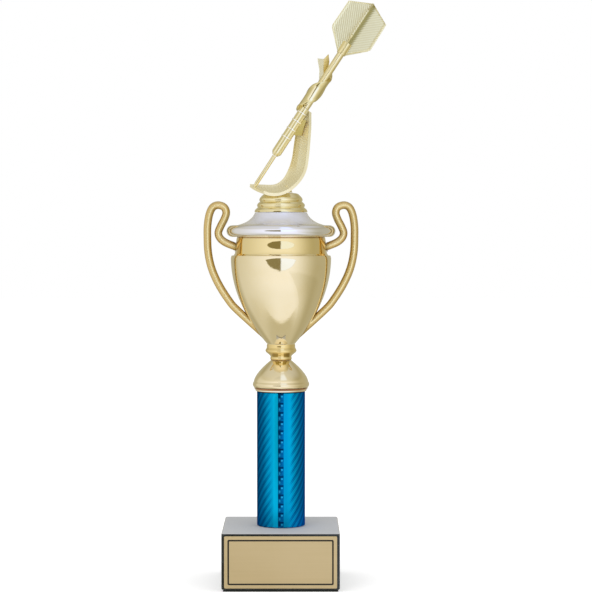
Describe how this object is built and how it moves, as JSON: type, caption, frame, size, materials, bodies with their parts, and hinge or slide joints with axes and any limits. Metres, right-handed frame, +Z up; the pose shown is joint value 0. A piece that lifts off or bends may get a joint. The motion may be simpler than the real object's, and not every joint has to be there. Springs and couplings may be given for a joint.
{
  "type": "column trophy",
  "caption": "Column trophy: dark stone base with a blank plate, blue foil column, two-handled gold cup with a silver lid, and a gold figure of a dart in a ribbon that turns on the tie rod.",
  "frame": {"origin": "centre of the pad's underside, on the axis of the tie rod", "axes": "+Z up the tie rod, -Y out of the name plate, +X to the right as the plate is read"},
  "size_m": [0.1201, 0.0778, 0.3833],
  "materials": {
    "pad_rubber": "matte foam rubber",
    "dark_marble": "polished sides, honed top",
    "tape": "matte",
    "plate_brass": "satin gold sheet with a dark printed border",
    "zinc_steel": "zinc plated",
    "plug_wood": "raw wood",
    "blue_foil": "metallic blue foil with a diagonal weave",
    "collar_copper": "bright copper gold",
    "gold_plate": "mirror bright gold metallising",
    "handle_gold": "bright deeper gold metallising",
    "lid_silver": "mirror bright silver metallising",
    "figure_gold": "bright pale gold metallising",
    "insert_brass": "turned"
  },
  "bodies": {
    "stack": {"base_pad": "pad_rubber", "marble_base": "dark_marble", "plate_tape": "tape", "name_plate": "plate_brass", "tie_rod": "zinc_steel", "base_nut": "zinc_steel", "spring_washer": "zinc_steel", "base_washer": "zinc_steel", "column_bottom_plug": "plug_wood", "column_tube": "blue_foil", "column_top_plug": "plug_wood", "column_collar": "collar_copper", "foot_dome": "gold_plate", "stem_knop": "gold_plate", "cup_bowl": "gold_plate", "cup_neck": "gold_plate", "left_handle": "handle_gold", "right_handle": "handle_gold", "handle_screw_upper_left": "zinc_steel", "handle_screw_upper_right": "zinc_steel", "handle_screw_lower_left": "zinc_steel", "handle_screw_lower_right": "zinc_steel", "lid": "lid_silver", "lid_washer": "zinc_steel", "lid_nut": "zinc_steel"},
    "figure": {"figure_base": "figure_gold", "figure_insert": "insert_brass", "ribbon_post": "figure_gold", "dart_web": "figure_gold", "ribbon_sweep": "figure_gold", "ribbon_wrap": "figure_gold", "ribbon_tail": "figure_gold", "dart_needle": "figure_gold", "dart_barrel": "figure_gold", "dart_shaft": "figure_gold", "dart_flight": "figure_gold"}
  },
  "joints": [
    {"name": "figure_turn", "type": "hinge", "parent": "stack", "child": "figure", "pos_m": [0, 0, 0.2445], "axis": [0, 0, 1], "range_deg": [-180, 180]}
  ]
}
